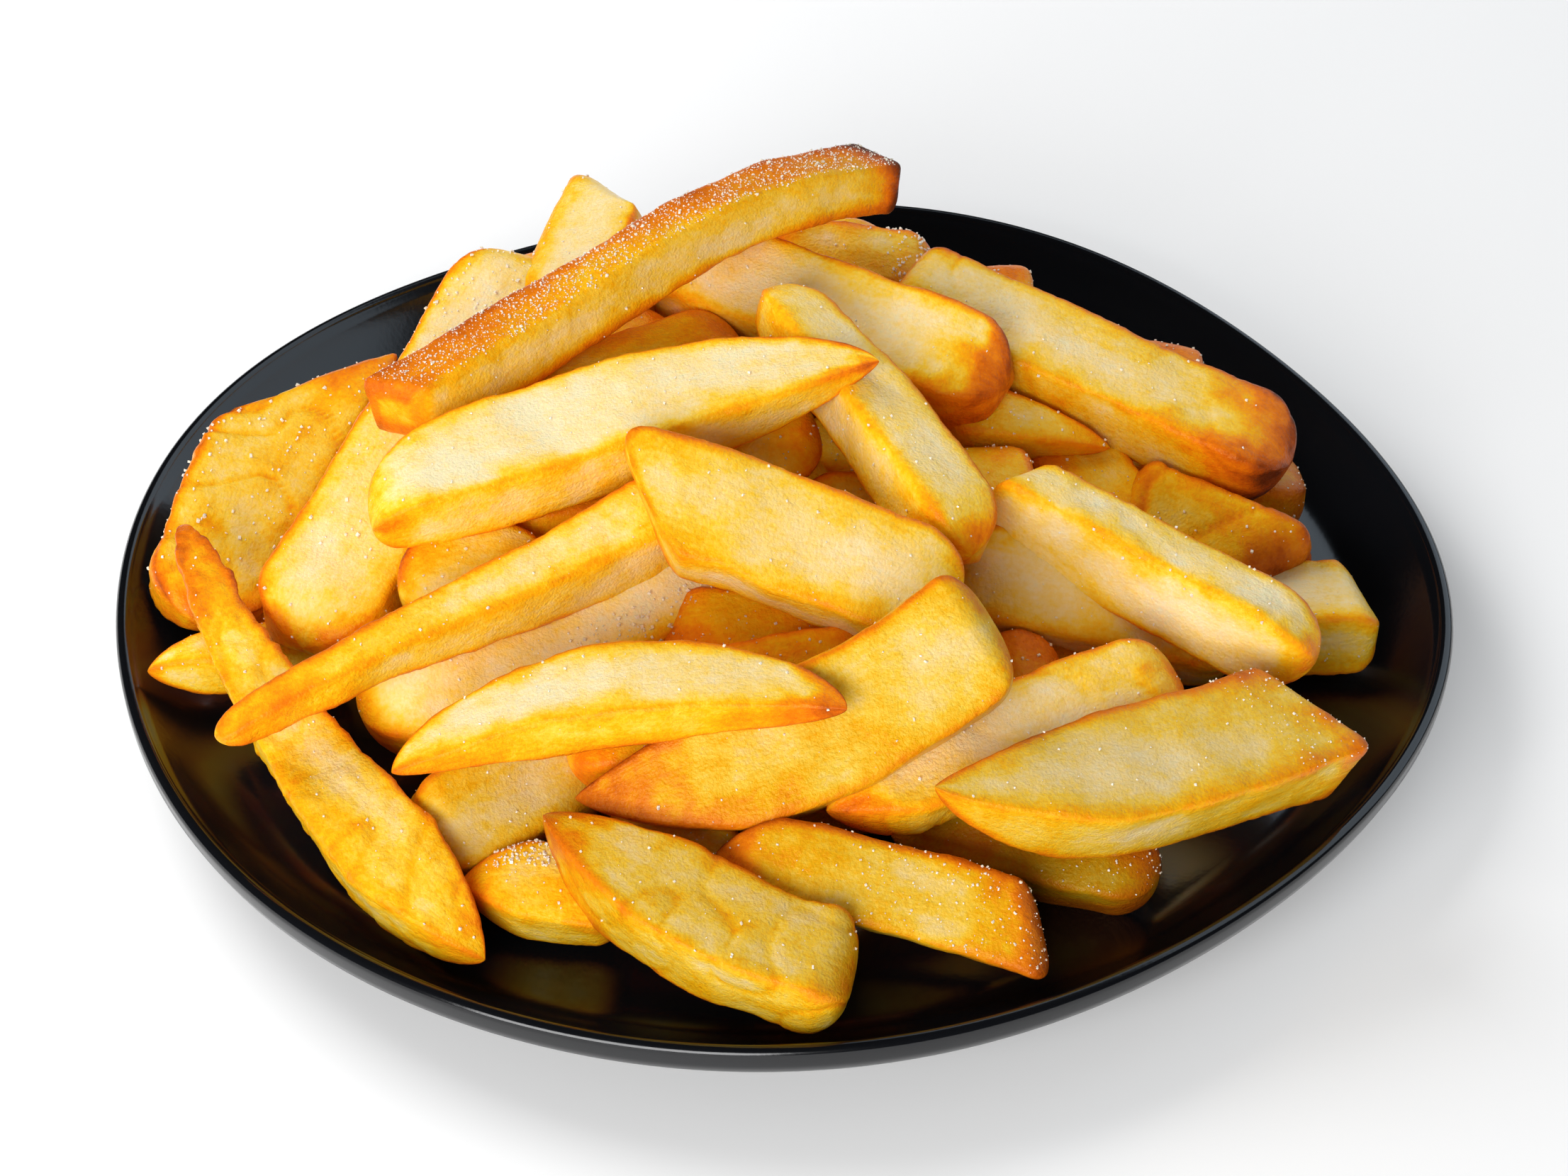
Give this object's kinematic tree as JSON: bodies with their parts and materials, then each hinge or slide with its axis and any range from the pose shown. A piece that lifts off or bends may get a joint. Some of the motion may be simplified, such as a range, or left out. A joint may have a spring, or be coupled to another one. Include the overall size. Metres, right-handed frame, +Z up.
{
  "type": "french fries on a plate",
  "caption": "Thick-cut fried potato sticks heaped on a shallow, hand-shaped, dark glazed plate with a foot ring.",
  "frame": {"origin": "on the surface that the plate stands on, under the middle of the plate's outline", "axes": "+Z up; +X to the right and +Y away from someone who faces the served side of the plate"},
  "size_m": [0.2394, 0.2364, 0.0702],
  "materials": {
    "black_glaze": "near-black satin to gloss glaze",
    "fried_potato": "fried potato: golden, slightly oily and blistered crust, with coarse salt"
  },
  "bodies": {
    "root": {"plate": "black_glaze", "fries_heap": "fried_potato"}
  },
  "joints": []
}
